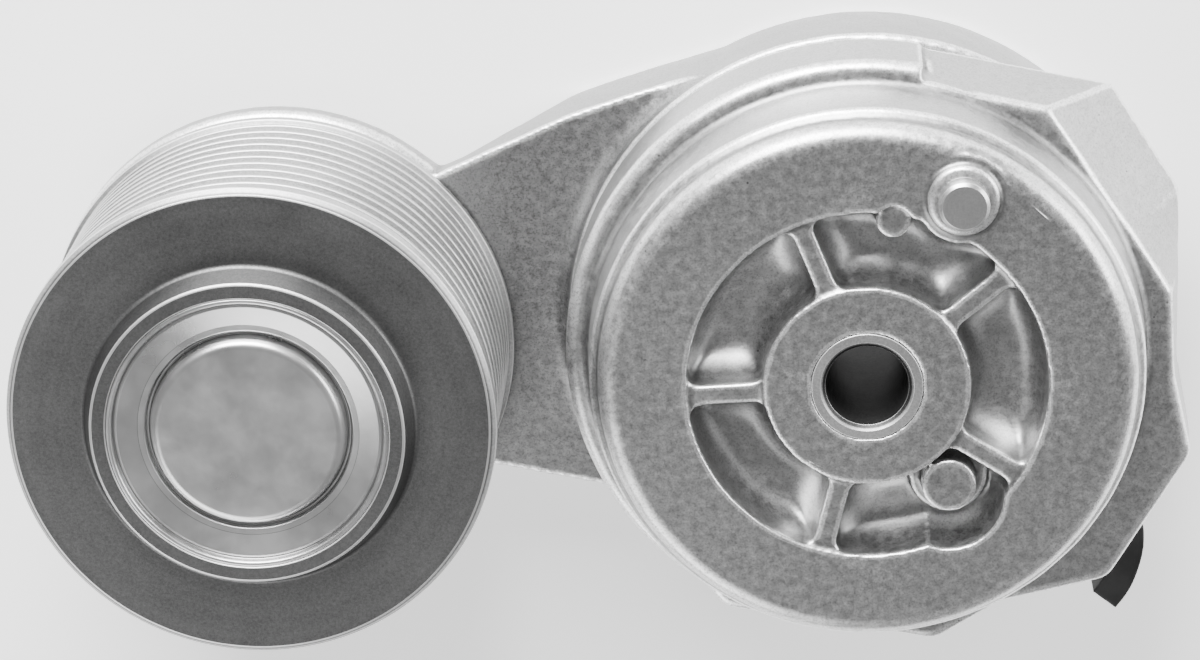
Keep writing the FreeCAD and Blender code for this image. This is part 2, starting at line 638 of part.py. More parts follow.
def make_pockets(body):
    """A ring of pockets in the mounting face, with ribs and round lands left in it."""
    moat = new_sketch(body, "pocket_outline", level=ZERO)
    draw_circle(moat, ZERO, ZERO, pocket_radius)
    bulge_x, bulge_y = polar(bulge_pitch, bulge_angle)
    pocket(body, "pocket_ring", moat, pocket_depth)
    bulge = new_sketch(body, "bulge_outline", level=ZERO)
    draw_circle(bulge, bulge_x, bulge_y, bulge_radius)
    pocket(body, "pocket_bulge", bulge, pocket_depth)

    hub = new_sketch(body, "hub_outline", level=-pocket_depth)
    draw_circle(hub, ZERO, ZERO, hub_radius)
    pad(body, "hub", hub, pocket_depth)
    pin_x, pin_y = polar(pin_pitch, pin_angle)
    column = new_sketch(body, "column_outline", level=-pocket_depth)
    draw_circle(column, pin_x, pin_y, boss_column)
    pad(body, "pin_column", column, pocket_depth)

    rib = new_sketch(body, "rib_outline", level=-pocket_depth)
    half = rib_width / 2
    corners = []
    for along, side in ((hub_radius - overlap, -half), (pocket_radius + overlap, -half),
                        (pocket_radius + overlap, half), (hub_radius - overlap, half)):
        corners.append(along_ray(rib_angle, along, side))
    draw_outline(rib, corners)
    first = pad(body, "rib", rib, pocket_depth - rib_drop)
    repeat_round(body, "ribs", [first], rib_count)

    round_edges(body, "pocket_corners",
                lambda edge, middle: is_upright(edge, -pocket_depth, -rib_drop)
                and middle.Length > hub_radius.value, pocket_round)
    round_edges(body, "pocket_floors",
                lambda edge, middle: abs(middle.z + pocket_depth.value) < 0.02
                and all(abs(v.Z + pocket_depth.value) < 0.02 for v in edge.Vertexes), floor_round)

    pillar_x, pillar_y = polar(pillar_pitch, pillar_angle)
    foot = new_sketch(body, "pillar_foot_outline", level=-pocket_depth - overlap)
    draw_circle(foot, pillar_x, pillar_y, pillar_radius + pillar_foot)
    pad(body, "pillar_step", foot, pillar_foot_rise + overlap)
    pillar = new_sketch(body, "pillar_outline", level=-pocket_depth)
    draw_circle(pillar, pillar_x, pillar_y, pillar_radius)
    pad(body, "pillar", pillar, pocket_depth - pillar_drop)
    disc_x, disc_y = polar(land_pitch, land_angle)
    land = new_sketch(body, "land_outline", level=-pocket_depth)
    draw_circle(land, disc_x, disc_y, land_radius)
    pad(body, "land", land, pocket_depth - land_drop)
    recess = new_sketch(body, "land_recess_outline", level=ZERO)
    draw_circle(recess, disc_x, disc_y, land_radius + land_moat)
    pocket(body, "land_recess", recess, land_drop)

    boss = new_sketch(body, "boss_outline", level=-overlap)
    draw_circle(boss, pin_x, pin_y, boss_radius)
    pad(body, "pin_boss", boss, boss_height + overlap)
    round_edges(body, "boss_rounding",
                lambda edge, middle: abs(middle.z - boss_height.value) < 0.02, boss_round)


def make_chamber(body):
    """The spring chamber, open at the back, and the bores for tube and pin."""
    turn_profile(body, "chamber", [
        (core_radius, floor_back),
        (core_radius, -front_wall),
        (chamber_radius, -front_wall),
        (chamber_radius, base_back - overlap),
        (ZERO, base_back - overlap),
        (ZERO, floor_back)], cut=True)
    bore = new_sketch(body, "tube_seat_outline", level=ZERO)
    draw_circle(bore, ZERO, ZERO, tube_radius)
    pocket(body, "tube_seat", bore, hub_depth + overlap)
    pin_x, pin_y = polar(pin_pitch, pin_angle)
    hole = new_sketch(body, "pin_hole_outline", level=boss_height)
    draw_circle(hole, pin_x, pin_y, pin_shank_radius)
    pocket(body, "pin_hole", hole, pin_shank_length)


# ---------------------------------------------------------------- fixed pieces in the base

def make_pivot_tube():
    body = new_body("pivot_tube")
    turn_profile(body, "tube", [
        (bore_radius, tube_back + mouth_chamfer),
        (bore_radius + mouth_chamfer, tube_back),
        (flare_radius, tube_back),
        (flare_radius, flare_front),
        (tube_radius, flare_front),
        (tube_radius, ZERO),
        (bore_radius + mouth_chamfer, ZERO),
        (bore_radius, -mouth_chamfer)])


def make_locating_pin():
    body = new_body("locating_pin")
    pin_x, pin_y = polar(pin_pitch, pin_angle)
    shank = new_sketch(body, "shank_outline", level=boss_height - pin_shank_length)
    draw_circle(shank, pin_x, pin_y, pin_shank_radius)
    pad(body, "shank", shank, pin_shank_length)
    head = new_sketch(body, "head_outline", level=boss_height)
    draw_circle(head, pin_x, pin_y, pin_radius)
    pad(body, "head", head, pin_height - boss_height)
    tip = body.newObject("PartDesign::Chamfer", "tip_chamfer")
    tip.Base = (tip.BaseFeature, edge_names_of(tip.BaseFeature, pin_height))
    tip.setExpression("Size", pin_chamfer.text)
    doc.recompute()


def edge_names_of(feature, level):
    """Names of a feature's edges that lie wholly at one level."""
    names = []
    for number, edge in enumerate(feature.Shape.Edges, 1):
        if all(abs(vertex.Z - level.value) < 0.02 for vertex in edge.Vertexes):
            names.append("Edge%d" % number)
    return names


def make_stop_bumper():
    """A curved rubber block, bonded to the back of the flange's elbow."""
    body = new_body("stop_bumper")
    sketch = new_sketch(body, "bumper_outline", level=base_back - bumper_depth)
    seat_in = disc_front_radius + bumper_seat_gap
    tip_in = disc_front_radius + bumper_tip_reach
    draw_outline(sketch, [
        polar(seat_in, bumper_seat_angle) + ((bumper_inner_curve, 1),),
        polar(tip_in, bumper_tip_angle),
        polar(tip_in + bumper_tip_width, bumper_tip_angle + bumper_tip_lean)
        + ((bumper_outer_curve, -1),),
        polar(seat_in + bumper_seat_width, bumper_seat_angle)])
    pad(body, "bumper", sketch, bumper_depth)


def make_torsion_spring():
    """A round wire wound on a helix about the pivot, between base and arm."""
    helix = doc.addObject("Part::Helix", "spring_path")
    turn_rise = (spring_room - wire_radius * 2 - free_gap * 2 - seat_height * 2) / spring_turns
    helix.setExpression("Pitch", turn_rise.text)
    helix.setExpression("Height", (turn_rise * spring_turns).text)
    helix.setExpression("Radius", spring_radius.text)
    start = chamber_back + seat_height + free_gap + wire_radius
    helix.setExpression("Placement.Base.z", start.text)
    wire = doc.addObject("Part::Circle", "spring_wire")
    wire.setExpression("Radius", wire_radius.text)
    wire.Placement = FreeCAD.Placement(FreeCAD.Vector(0, 0, 0),
                                       FreeCAD.Rotation(FreeCAD.Vector(1, 0, 0), 90))
    wire.setExpression("Placement.Base.x", spring_radius.text)
    wire.setExpression("Placement.Base.z", start.text)
    spring = doc.addObject("Part::Sweep", "torsion_spring")
    spring.Label = "torsion_spring"
    spring.Sections = [wire]
    spring.Spine = (helix, [])
    spring.Solid = True
    spring.Frenet = True
    doc.recompute()


# ---------------------------------------------------------------- arm

def make_arm():
    body = new_body("tensioner_arm")
    turn_profile(body, "round_end", [
        (ZERO, arm_back),
        (disc_front_radius - disc_taper, arm_back),
        (disc_front_radius, arm_front),
        (ZERO, arm_front)])
    make_neck(body)
    make_pad(body)
    make_lug(body)
    round_edges(body, "disc_rounding",
                lambda edge, middle: is_ring(edge, middle, disc_front_radius, arm_front), arm_round)
    turn_profile(body, "spring_space", [
        (ZERO, chamber_back),
        (skirt_radius - skirt_wall, chamber_back),
        (skirt_radius - skirt_wall, arm_front + overlap),
        (ZERO, arm_front + overlap)], cut=True)
    turn_profile(body, "skirt", [
        (skirt_radius - skirt_wall, arm_front - overlap),
        (skirt_radius, arm_front - overlap),
        (skirt_radius, arm_front + skirt_rise),
        (skirt_radius - skirt_wall, arm_front + skirt_rise)])
    turn_profile(body, "pivot_sleeve", [
        (ZERO, chamber_back - overlap),
        (sleeve_radius, chamber_back - overlap),
        (sleeve_radius, bushing_front_end),
        (ZERO, bushing_front_end)])
    turn_profile(body, "back_recess", [
        (ZERO, arm_back - overlap),
        (recess_radius, arm_back - overlap),
        (recess_radius, recess_floor),
        (ZERO, recess_floor)], cut=True)
    turn_profile(body, "bushing_bore", [
        (ZERO, recess_floor - overlap),
        (bushing_radius, recess_floor - overlap),
        (bushing_radius, bushing_front_end + overlap),
        (ZERO, bushing_front_end + overlap)], cut=True)
    return body


def make_neck(body):
    """The flat neck from the round end to the pad, thinner towards the pad."""
    sketch = new_sketch(body, "neck_outline", level=arm_back)
    inside = disc_front_radius - disc_taper
    top_x, top_y = polar(pad_radius - overlap, neck_top_side)
    low_x, low_y = polar(pad_radius - overlap, -neck_low_side)
    draw_outline(sketch, [
        polar(inside, neck_top_angle) + ((neck_curve, -1),),
        (-neck_bend_x, neck_bend_y),
        (pulley_x + top_x, top_y),
        (pulley_x + low_x, low_y),
        polar(inside, neck_low_angle)])
    pad(body, "neck", sketch, neck_height)
    side_radius = disc_front_radius - disc_taper * neck_drop / (neck_drop + neck_height)
    round_edges(body, "neck_blending",
                lambda edge, middle: is_ring(edge, middle, side_radius, neck_front), neck_blend)
    pad_back = neck_front - pad_height
    slope = new_sketch(body, "slope_outline", "XZ_Plane", level=pad_radius * 2)
    draw_outline(slope, [
        (-slope_start, arm_back - overlap),
        (-slope_start, arm_back),
        (-slope_end, pad_back),
        (pulley_x - pad_radius, pad_back),
        (pulley_x - pad_radius, arm_back - overlap)])
    cut = body.newObject("PartDesign::Pocket", "neck_slope")
    cut.Profile = slope
    cut.setExpression("Length", (pad_radius * 4).text)
    finish(body, cut, True)


def make_pad(body):
    pad_sketch = new_sketch(body, "pad_outline", level=neck_front - pad_height)
    draw_circle(pad_sketch, pulley_x, ZERO, pad_radius)
    pad(body, "pad", pad_sketch, pad_height)
    round_edges(body, "pad_rounding",
                lambda edge, middle: abs(middle.z - neck_front.value) < 0.02
                and middle.x < pulley_x.value, pad_round)
    boss = new_sketch(body, "boss_outline", level=neck_front - pad_height)
    draw_circle(boss, pulley_x, ZERO, arm_boss_radius)
    pad(body, "bearing_boss", boss, bearing_back - neck_front + pad_height)
    rear = new_sketch(body, "rear_boss_outline", level=neck_front - pad_height - rear_boss_height)
    draw_circle(rear, pulley_x, ZERO, rear_boss_radius)
    pad(body, "rear_boss", rear, rear_boss_height + overlap)
    thread = new_sketch(body, "thread_outline", level=bearing_back)
    draw_circle(thread, pulley_x, ZERO, bolt_radius)
    pocket(body, "bolt_hole", thread, bearing_back - arm_back + overlap)


def make_lug(body):
    """The lug that rests on the stop bumper."""
    sketch = new_sketch(body, "lug_outline", level=arm_front - lug_drop - lug_height)
    root = disc_front_radius - lug_root
    end = disc_front_radius + lug_reach
    corners = []
    for along, side in ((root, stop_gap), (end, stop_gap),
                        (end, stop_gap + lug_width), (root, stop_gap + lug_width)):
        corners.append(along_ray(bumper_seat_angle, along, side))
    draw_outline(sketch, corners)
    pad(body, "stop_lug", sketch, lug_height)


# ---------------------------------------------------------------- pulley

def make_pulley():
    body = new_body("pulley_body", pulley_x)
    rim_inside = rib_radius - groove_depth - rim_wall
    crest = rib_radius + flange_crest
    turn_profile(body, "blank", [
        (lip_radius, lip_back),
        (nose_foot, lip_back),
        (nose_foot, pulley_front - web_width),
        (rim_inside, pulley_front - web_width),
        (rim_inside, pulley_back),
        (crest, pulley_back),
        (crest, last_crest - flange_slope),
        (rib_radius, last_crest),
        (rib_radius, pulley_front - flange_width),
        (crest, pulley_front - flange_width + flange_slope),
        (crest, pulley_front - flange_bevel),
        (crest - flange_bevel, pulley_front),
        (nose_foot, pulley_front),
        (nose_tip, pulley_front + nose_height),
        (lip_radius, pulley_front + nose_height)])
    turn_profile(body, "bearing_seat", [
        (ZERO, bearing_back),
        (bearing_radius, bearing_back),
        (bearing_radius, bearing_front),
        (bearing_radius + snap_groove, bearing_front),
        (bearing_radius + snap_groove, snap_front),
        (bearing_radius, snap_front),
        (bearing_radius, snap_front + cap_seat),
        (cap_radius, snap_front + cap_seat),
        (cap_radius, pulley_front + nose_height + overlap),
        (ZERO, pulley_front + nose_height + overlap)], cut=True)
    half_mouth = (groove_pitch - groove_crest) / 2
    half_root = half_mouth - groove_depth * tangent(groove_flank)
    centre = first_groove
    vee = new_sketch(body, "groove_profile", "XZ_Plane")
    draw_outline(vee, [
        (rib_radius - groove_depth, centre - half_root),
        (rib_radius - groove_depth, centre + half_root),
        (rib_radius, centre + half_mouth),
        (rib_radius + flange_crest * 2, centre + half_mouth),
        (rib_radius + flange_crest * 2, centre - half_mouth),
        (rib_radius, centre - half_mouth)])
    groove = turn_sketch(body, "groove", vee, cut=True)
    grooves = body.newObject("PartDesign::LinearPattern", "grooves")
    grooves.Originals = [groove]
    grooves.Direction = (origin_plane(body, "Z_Axis"), [""])
    grooves.Reversed = True
    grooves.setExpression("Length", (groove_pitch * (groove_count - 1)).text)
    grooves.Occurrences = groove_count
    body.Tip = grooves
    doc.recompute()


def make_dust_cap():
    """A pressed steel cap: a skirt, a rolled rim, a groove and a raised centre."""
    body = new_body("dust_cap", pulley_x)
    rim_in = cap_radius - cap_rim
    slope_top = cap_front - cap_step
    groove_top = cap_front - cap_groove_drop
    crown_top = cap_front - cap_crown_drop
    half = cap_sheet / 2
    turn_profile(body, "cap", [
        (ZERO, crown_top),
        (ZERO, crown_top - cap_sheet),
        (cap_crown - half, crown_top - cap_sheet),
        (cap_groove - cap_sheet, groove_top - cap_sheet),
        (cap_groove + half, groove_top - cap_sheet),
        (rim_in - cap_sheet, slope_top - cap_sheet),
        (rim_in, cap_front - cap_skirt),
        (cap_radius, cap_front - cap_skirt),
        (cap_radius, cap_front - cap_edge, (cap_edge, -1)),
        (cap_radius - cap_edge, cap_front),
        (rim_in, cap_front),
        (rim_in, slope_top),
        (cap_groove + cap_sheet, groove_top + cap_edge),
        (cap_groove + half, groove_top),
        (cap_groove - half, groove_top),
        (cap_crown + half, crown_top - cap_slope),
        (cap_crown, crown_top - cap_edge, (cap_edge, -1)),
        (cap_crown - cap_edge, crown_top)])


def make_snap_ring():
    body = new_body("snap_ring", pulley_x)
    turn_profile(body, "snap", [
        (snap_inner, bearing_front),
        (bearing_radius + snap_groove, bearing_front),
        (bearing_radius + snap_groove, snap_front),
        (snap_inner, snap_front)])
    gap = new_sketch(body, "gap_outline", level=snap_front + overlap)
    half = snap_opening / 2
    near = snap_inner - overlap * 2
    far = bearing_radius + snap_groove + overlap
    draw_outline(gap, [(-half, near), (half, near), (half, far), (-half, far)])
    pocket(body, "snap_gap", gap, snap_thick + overlap * 2)


# ---------------------------------------------------------------- bearing

def make_race(label, inner, outer):
    """A race with a round track for each row of balls."""
    body = ring(label, inner, outer, bearing_back, bearing_front, pulley_x)
    for name, shift in (("front_track", row_offset), ("back_track", -row_offset)):
        sketch = new_sketch(body, name + "_profile", "XZ_Plane")
        draw_circle(sketch, ball_pitch, -bearing_centre + shift, ball_radius + track_gap)
        turn_sketch(body, name, sketch, cut=True)


def make_row(place, shift):
    """One row of balls and its cage."""
    level = -bearing_centre + shift
    cage = ring(place + "_cage", cage_inner, cage_outer, level - cage_half, level + cage_half,
                pulley_x)
    window = new_sketch(cage, place + "_window_outline", "YZ_Plane", level=cage_outer + overlap)
    draw_circle(window, ZERO, level, ball_radius + track_gap)
    cut = pocket(cage, place + "_window", window, cage_outer - cage_inner + overlap * 2)
    repeat_round(cage, place + "_windows", [cut], ball_count)

    balls = []
    for k in range(ball_count):
        ball = doc.addObject("Part::Sphere", "%s_ball_%d" % (place, k + 1))
        ball.setExpression("Radius", ball_radius.text)
        turn = as_size(360.0 * k / ball_count)
        x, y = polar(ball_pitch, turn)
        ball.setExpression("Placement.Base.x", (pulley_x + x).text)
        ball.setExpression("Placement.Base.y", y.text)
        ball.setExpression("Placement.Base.z", level.text)
        balls.append(ball)
    row = doc.addObject("Part::Compound", place + "_balls")
    row.Label = place + "_balls"
    row.Links = balls
    doc.recompute()


# ---------------------------------------------------------------- bolt and small turned pieces

def make_bolt():
    body = new_body("pulley_bolt", pulley_x)
    head_back = bearing_front + bolt_washer_height
    shank = new_sketch(body, "shank_outline", level=arm_back + bolt_short)
    draw_circle(shank, ZERO, ZERO, bolt_radius)
    pad(body, "shank", shank, head_back - arm_back - bolt_short + overlap)
    head = new_sketch(body, "hex_outline", level=head_back)
    corner = bolt_flats / (2 * math.cos(math.radians(30)))
    draw_outline(head, [polar(corner, bolt_turn + 60.0 * k) for k in range(6)])
    pad(body, "hex_head", head, bolt_head)
    turn_profile(body, "head_chamfer", [
        (corner - bolt_bevel, head_back + bolt_head),
        (corner + overlap, head_back + bolt_head),
        (corner + overlap, head_back + bolt_head - bolt_bevel)], cut=True)


make_base_housing()
make_pivot_tube()
make_locating_pin()
make_stop_bumper()
make_torsion_spring()
ring("damping_ring", chamber_radius - damper_thick, chamber_radius,
     base_back, base_back + damper_height)
ring("dust_seal", seal_inner, seal_inner + seal_width, base_back - seal_height, base_back)
ring("thrust_washer", tube_radius, washer_radius, plate_front, washer_front)
ring("end_plate", tube_radius, plate_radius, flare_front, plate_front)
ring("front_spring_seat", spring_radius - seat_width / 2, spring_radius + seat_width / 2,
     floor_back - seat_height, floor_back)

make_arm()
ring("front_bushing", tube_radius + run_gap, bushing_radius,
     bushing_front_end - bushing_length, bushing_front_end)
ring("back_bushing", tube_radius + run_gap, bushing_radius,
     recess_floor, recess_floor + bushing_length)
ring("spring_sleeve", sleeve_radius, sleeve_radius + spring_sleeve_wall,
     chamber_back, bushing_front_end - spring_sleeve_short)
ring("back_spring_seat", spring_radius - seat_width / 2, spring_radius + seat_width / 2,
     chamber_back, chamber_back + seat_height)
make_bolt()
ring("bolt_washer", bolt_radius + sleeve_gap, bolt_washer_radius,
     bearing_front, bearing_front + bolt_washer_height, pulley_x)
ring("bearing_sleeve", bolt_radius + sleeve_gap, bearing_bore, bearing_back, bearing_front,
     pulley_x)
make_race("bearing_inner_race", bearing_bore, inner_land)
ring("dust_shield", arm_boss_radius, shield_radius,
     lip_back - shield_gap - shield_height, lip_back - shield_gap, pulley_x)

make_pulley()
make_race("bearing_outer_race", outer_land, bearing_radius)
ring("front_bearing_seal", inner_land + track_gap, outer_land,
     bearing_front - seal_inset - seal_thick, bearing_front - seal_inset, pulley_x)
ring("back_bearing_seal", inner_land + track_gap, outer_land,
     bearing_back + seal_inset, bearing_back + seal_inset + seal_thick, pulley_x)
make_snap_ring()
make_dust_cap()
make_row("front", row_offset)
make_row("back", -row_offset)
doc.recompute()

# ---------------------------------------------------------------- checks and export

NODES = [
    "base_housing", "pivot_tube", "locating_pin", "stop_bumper", "torsion_spring",
    "damping_ring", "dust_seal", "thrust_washer", "end_plate", "front_spring_seat",
    "tensioner_arm", "front_bushing", "back_bushing", "spring_sleeve", "back_spring_seat",
    "pulley_bolt", "bolt_washer", "bearing_sleeve", "bearing_inner_race", "dust_shield",
    "pulley_body", "bearing_outer_race", "front_bearing_seal", "back_bearing_seal",
    "snap_ring", "dust_cap", "front_cage", "front_balls", "back_cage", "back_balls"]

for item in doc.Objects:
    if "Invalid" in item.State or "Error" in item.State:
        raise RuntimeError("%s failed: %s" % (item.Name, item.State))

os.makedirs("parts", exist_ok=True)
for node in NODES:
    shape = doc.getObjectsByLabel(node)[0].Shape
    if shape.isNull() or not shape.isValid() or shape.Volume <= 0:
        raise RuntimeError("%s has no valid solid" % node)
    print("%-20s solids %d  volume %.1f mm3" % (node, len(shape.Solids), shape.Volume))
for node in NODES:
    doc.getObjectsByLabel(node)[0].Shape.exportStep("parts/%s.step" % node)
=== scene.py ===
import math
import bmesh
import bpy
import numpy as np
from mathutils import Matrix, Vector


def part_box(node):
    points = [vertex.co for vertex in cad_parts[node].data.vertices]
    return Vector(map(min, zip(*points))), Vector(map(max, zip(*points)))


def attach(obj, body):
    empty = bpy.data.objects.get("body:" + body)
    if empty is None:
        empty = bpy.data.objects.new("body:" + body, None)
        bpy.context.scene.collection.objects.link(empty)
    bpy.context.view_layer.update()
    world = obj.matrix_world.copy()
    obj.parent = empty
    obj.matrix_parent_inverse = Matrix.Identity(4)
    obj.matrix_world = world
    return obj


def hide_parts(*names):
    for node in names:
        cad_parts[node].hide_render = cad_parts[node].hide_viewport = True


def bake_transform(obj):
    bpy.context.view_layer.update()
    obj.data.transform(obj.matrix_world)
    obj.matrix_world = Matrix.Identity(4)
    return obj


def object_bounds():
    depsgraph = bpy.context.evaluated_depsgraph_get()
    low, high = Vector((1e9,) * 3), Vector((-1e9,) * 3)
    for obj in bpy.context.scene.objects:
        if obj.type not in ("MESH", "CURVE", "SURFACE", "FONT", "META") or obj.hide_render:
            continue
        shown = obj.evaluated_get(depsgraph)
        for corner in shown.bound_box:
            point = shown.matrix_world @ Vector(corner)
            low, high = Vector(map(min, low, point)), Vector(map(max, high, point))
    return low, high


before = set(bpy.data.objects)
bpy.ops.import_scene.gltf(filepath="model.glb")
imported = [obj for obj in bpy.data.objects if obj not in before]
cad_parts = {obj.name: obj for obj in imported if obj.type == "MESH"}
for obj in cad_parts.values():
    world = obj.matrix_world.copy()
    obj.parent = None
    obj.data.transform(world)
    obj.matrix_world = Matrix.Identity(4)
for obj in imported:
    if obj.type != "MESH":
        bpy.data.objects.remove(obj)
cad_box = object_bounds()

# Automatic belt tensioner. Shapes are worked out in millimetres and put into meshes in metres.
# +Z points out of the mounting face, and the arm lies along -X.
MM = 0.001

# Sizes of the CAD pieces that their boxes don't show, in millimetres and degrees.
BORE_RADIUS = 6.5
MOUTH_CHAMFER = 0.8
TUBE_RADIUS = 8.7
FLARE_HEIGHT = 1.6
HUB_RADIUS = 16.2
POCKET_RADIUS = 28.2
POCKET_DEPTH = 9.0
RIB_COUNT = 5
RIB_WIDTH = 3.2
RIB_ANGLE = 37.5
BULGE_PITCH = 22.4
BULGE_ANGLE = -57.5
BULGE_RADIUS = 8.7
PILLAR_PITCH = 21.2
PILLAR_ANGLE = -55.0
PIN_COLUMN_RADIUS = 7.2
PIN_SHANK_RADIUS = 3.0
PIN_SHANK_LENGTH = 4.0
PIN_BEVEL = 0.5
SEAL_WIDTH = 5.0
WIRE_RADIUS = 2.4
SPRING_TURNS = 4.0
BELT_PITCH = 3.56
GROOVE_COUNT = 10
GROOVE_DEPTH = 2.75
GROOVE_FLANK = 20
CREST_FLAT = 0.9
FLANGE_CREST = 0.75
FLANGE_SLOPE = 0.4
FLANGE_BEVEL = 1.0
FRONT_FLANGE = 3.6
RIM_WALL = 3.9
WEB_WIDTH = 5.0
NOSE_FOOT = 26.0
NOSE_TIP = 24.5
NOSE_HEIGHT = 4.1
LIP_RADIUS = 17.5
LIP_THICKNESS = 2.5
CAP_SEAT = 2.5
CAP_SHEET = 0.9


def span(node):
    """Lowest and highest corner of a CAD node, in millimetres."""
    low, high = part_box(node)
    return np.array(low) / MM, np.array(high) / MM


def middle(node):
    """Middle of a CAD node seen along Z, in millimetres."""
    low, high = span(node)
    return (low + high)[:2] / 2


def width(node):
    """Outer radius of a round CAD node, in millimetres."""
    low, high = span(node)
    return (high - low)[:2].max() / 2


# ---------------------------------------------------------------- finishes

def add(tree, kind, inputs=None, **settings):
    """Adds a node with its settings. An input is a number, a colour or another node's output."""
    made = tree.nodes.new(kind)
    for key, value in settings.items():
        setattr(made, key, value)
    for key, value in (inputs or {}).items():
        if isinstance(value, bpy.types.NodeSocket):
            tree.links.new(value, made.inputs[key])
        else:
            made.inputs[key].default_value = value
    return made


def new_finish(name, metallic, roughness):
    """An empty finish, its shader and the object coordinates that its patterns read."""
    finish = bpy.data.materials.new(name)
    finish.use_nodes = True
    tree = finish.node_tree
    shader = tree.nodes["Principled BSDF"]
    shader.inputs["Metallic"].default_value = metallic
    shader.inputs["Roughness"].default_value = roughness
    return finish, tree, shader, add(tree, "ShaderNodeTexCoord").outputs["Object"]


def noise(tree, place, scale, detail=3.0, rough=0.55):
    """Cloudy pattern, from 0 to 1, of so many lumps to the metre."""
    return add(tree, "ShaderNodeTexNoise", {
        "Vector": place, "Scale": scale, "Detail": detail, "Roughness": rough}).outputs["Fac"]


def stretch(tree, value, low, high, new_low, new_high):
    """Value moved from one range to another, and held inside it."""
    return add(tree, "ShaderNodeMapRange", {
        "Value": value, "From Min": low, "From Max": high,
        "To Min": new_low, "To Max": new_high}).outputs["Result"]


def maths(tree, operation, first, second=0.0):
    """One sum, product or the like of two values."""
    return add(tree, "ShaderNodeMath", {0: first, 1: second}, operation=operation).outputs[0]


def blend_colours(tree, share, first, second):
    """First colour where share is 0, second where it is 1."""
    mix = add(tree, "ShaderNodeMix", {"Factor": share}, data_type="RGBA")
    for socket, colour in ((mix.inputs[6], first), (mix.inputs[7], second)):
        if isinstance(colour, bpy.types.NodeSocket):
            tree.links.new(colour, socket)
        else:
            socket.default_value = colour
    return mix.outputs[2]


def grey(level, warm=0.0):
    """A neutral colour, or one turned a little warm."""
    return (level * (1 + warm), level, level * (1 - warm), 1.0)


def bend(tree):
    """How sharply the skin bends, per millimetre: above 0 on edges and below 0 in hollows."""
    return add(tree, "ShaderNodeAttribute", attribute_name="bend").outputs["Fac"]


def bumps(tree, shader, layers):
    """Relief made of layers, each a height pattern, its strength and its depth in metres."""
    normal = None
    for height, strength, depth in layers:
        inputs = {"Height": height, "Strength": strength, "Distance": depth}
        if normal is not None:
            inputs["Normal"] = normal
        normal = add(tree, "ShaderNodeBump", inputs).outputs["Normal"]
    tree.links.new(normal, shader.inputs["Normal"])


def cast_metal(name, dark, light, roughness, grain):
    """Die-cast aluminium: cloudy grey skin, edges painted light (partly wear, partly a painted
    highlight), hollows darkened as painted shade, fine pits.
    """
    finish, tree, shader, place = new_finish(name, 1.0, roughness)
    clouds = noise(tree, place, 45.0, 5.0, 0.62)
    streaks = noise(tree, place, 700.0, 4.0, 0.75)
    tone = maths(tree, "ADD", maths(tree, "MULTIPLY", clouds, 0.3),
                 maths(tree, "MULTIPLY", streaks, 0.7))
    skin = blend_colours(tree, stretch(tree, tone, 0.26, 0.74, 0.0, 1.0), grey(dark), grey(light))
    edge = bend(tree)
    ragged = maths(tree, "ADD", edge, stretch(tree, streaks, 0.3, 0.7, -0.03, 0.03))
    # Convex edges painted towards near white: partly edge wear, partly a painted highlight on rounded
    # edges.
    skin = blend_colours(tree, stretch(tree, ragged, 0.06, 0.24, 0.0, 0.95), skin, grey(0.95))
    # Hollows painted dark: painted shade where the skin bends inwards.
    skin = blend_colours(tree, stretch(tree, ragged, -0.10, -0.35, 0.0, 0.6),
                         skin, grey(dark * 0.5))
    grime = noise(tree, place, 2600.0, 3.0, 0.75)
    skin = blend_colours(tree, stretch(tree, grime, 0.52, 0.36, 0.0, 0.5), skin,
                         grey(dark * 0.5))
    pits = add(tree, "ShaderNodeTexVoronoi", {"Vector": place, "Scale": 420.0}).outputs["Distance"]
    speck = maths(tree, "MULTIPLY", stretch(tree, pits, 0.10, 0.06, 0.0, 1.0),
                  stretch(tree, noise(tree, place, 70.0), 0.56, 0.62, 0.0, 1.0))
    skin = blend_colours(tree, maths(tree, "MULTIPLY", speck, 0.7), skin, grey(0.05))
    tree.links.new(skin, shader.inputs["Base Color"])
    tree.links.new(stretch(tree, streaks, 0.3, 0.7, roughness - 0.07, roughness + 0.09),
                   shader.inputs["Roughness"])
    bumps(tree, shader, [
        (noise(tree, place, 260.0, 3.0), 0.35, 0.00016),
        (noise(tree, place, 1500.0, 2.0), grain, 0.00005),
        (stretch(tree, pits, 0.16, 0.02, 0.0, -1.0), 0.25, 0.00006)])
    return finish


